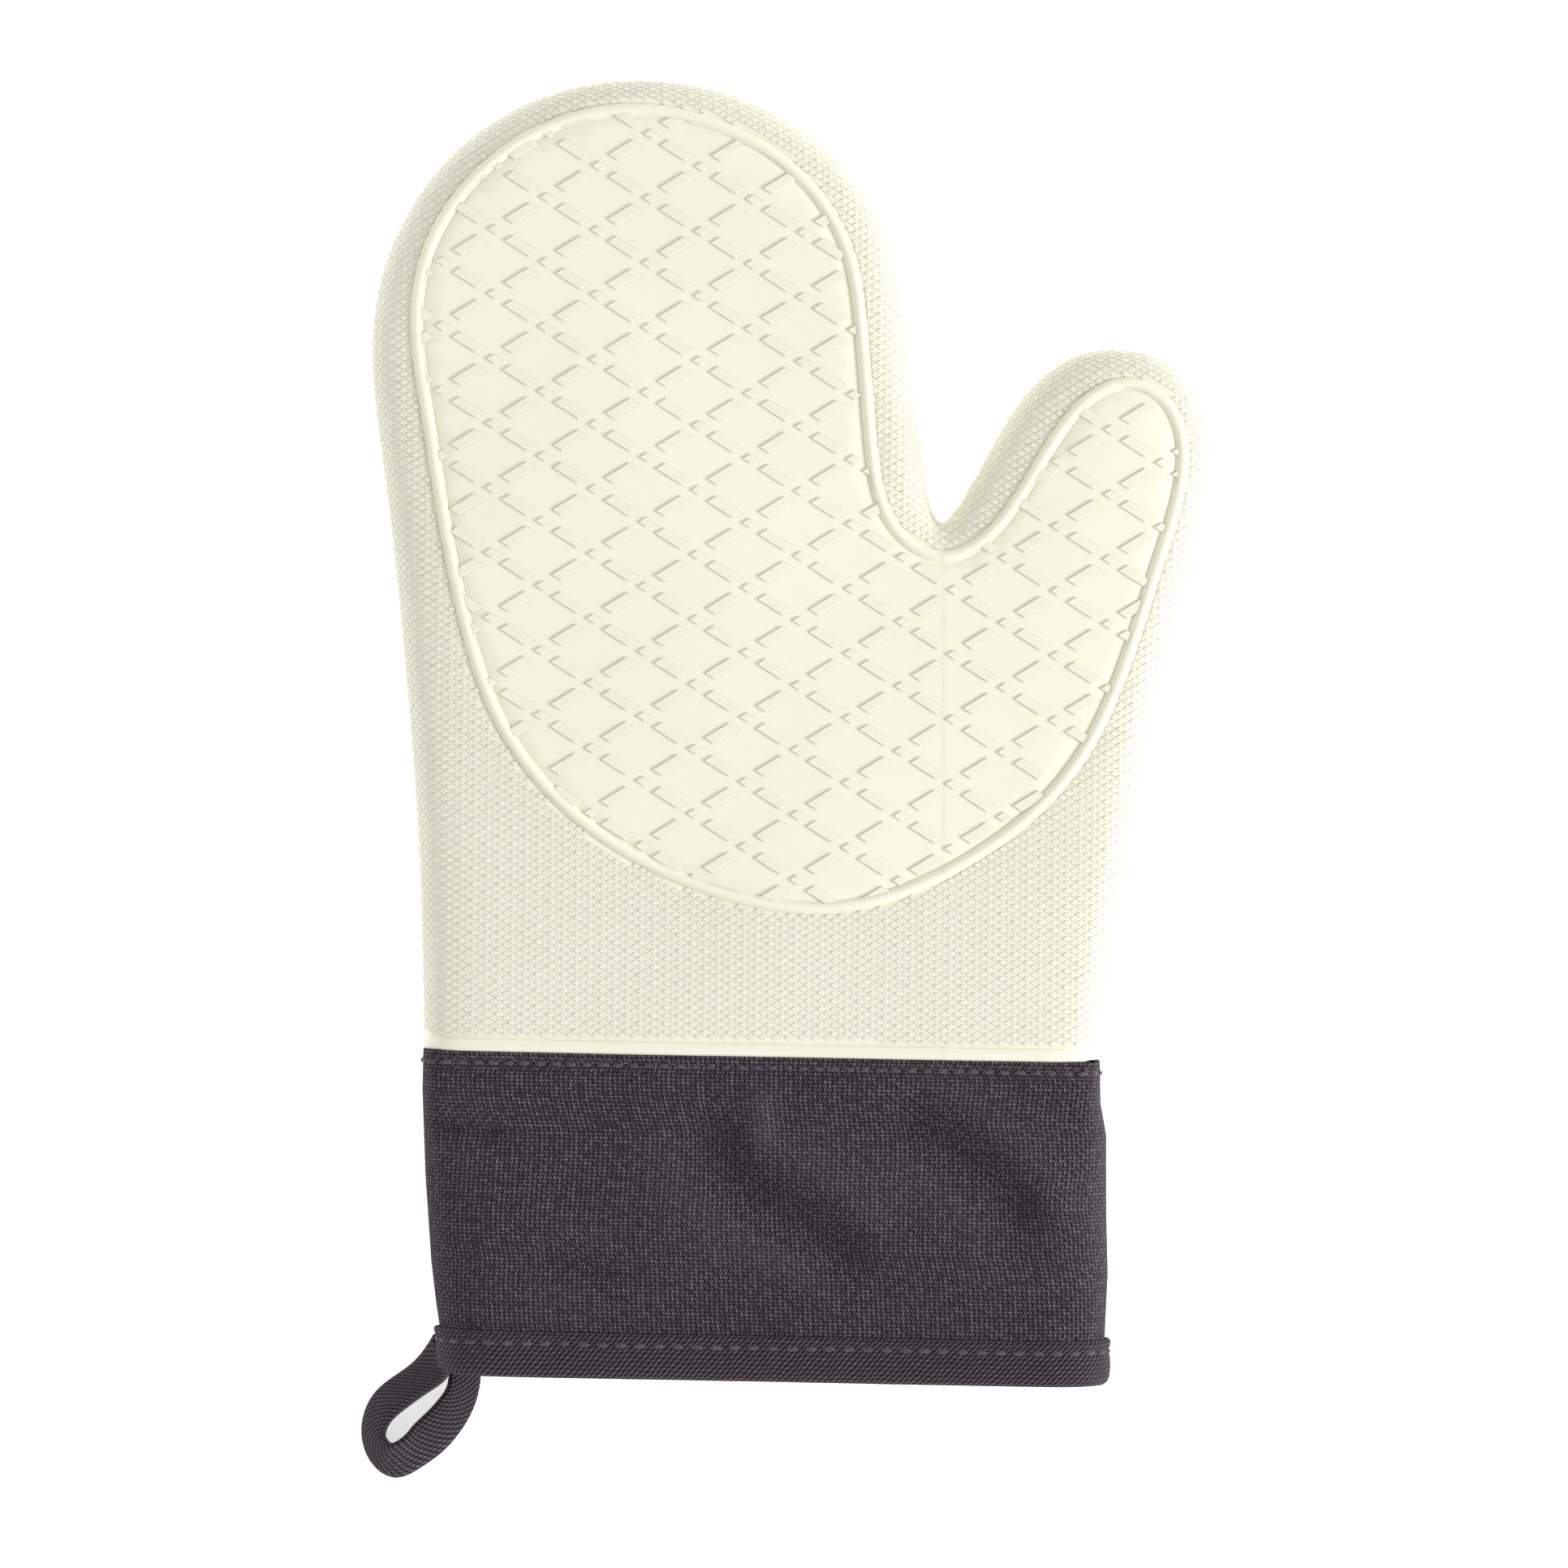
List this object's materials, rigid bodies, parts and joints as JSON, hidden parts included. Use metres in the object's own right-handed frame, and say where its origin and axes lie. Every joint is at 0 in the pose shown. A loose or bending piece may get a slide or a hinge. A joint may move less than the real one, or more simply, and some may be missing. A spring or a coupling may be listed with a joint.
{
  "type": "oven mitt",
  "caption": "Silicone oven mitt with a diamond grip panel, quilted lining, canvas cuff, bound edge and hanging loop.",
  "frame": {"origin": "on the resting surface, under the middle of the mitt's length and width", "axes": "+X across the hand towards the thumb, +Y towards the finger tips, +Z out of the palm"},
  "size_m": [0.1834, 0.3017, 0.0313],
  "materials": {
    "silicone": "matt moulded silicone, cream",
    "wadding": "white cotton wadding",
    "lining": "off-white cotton lining, quilted",
    "canvas": "dark plum grey cotton canvas",
    "binding": "dark plum grey twill tape",
    "thread": "dark polyester sewing thread"
  },
  "bodies": {
    "hand": {"silicone_hand": "silicone", "wadding_front_hand": "wadding", "wadding_back_hand": "wadding", "lining_front_hand": "lining", "lining_back_hand": "lining", "cuff_front": "canvas", "cuff_back": "canvas", "edge_binding": "binding", "cuff_top_stitching": "thread", "binding_stitching": "thread"},
    "fingers": {"silicone_fingers": "silicone", "wadding_front_fingers": "wadding", "wadding_back_fingers": "wadding", "lining_front_fingers": "lining", "lining_back_fingers": "lining"},
    "thumb": {"silicone_thumb": "silicone", "wadding_front_thumb": "wadding", "wadding_back_thumb": "wadding", "lining_front_thumb": "lining", "lining_back_thumb": "lining"},
    "loop": {"hanging_loop": "binding"}
  },
  "joints": [
    {"name": "finger_flex", "type": "hinge", "parent": "hand", "child": "fingers", "pos_m": [0, 0.066, 0.031], "axis": [1, 0, 0], "range_deg": [0, 60], "stiffness_Nm_per_rad": 0.35},
    {"name": "thumb_flex", "type": "hinge", "parent": "hand", "child": "thumb", "pos_m": [0.06695, 0.0421, 0.031], "axis": [0.8925, -0.451, 0], "range_deg": [0, 60], "stiffness_Nm_per_rad": 0.15},
    {"name": "loop_swing", "type": "hinge", "parent": "hand", "child": "loop", "pos_m": [-0.075, -0.128, 0.0093], "axis": [-0.7539, 0.6569, 0], "range_deg": [0, 90]}
  ]
}
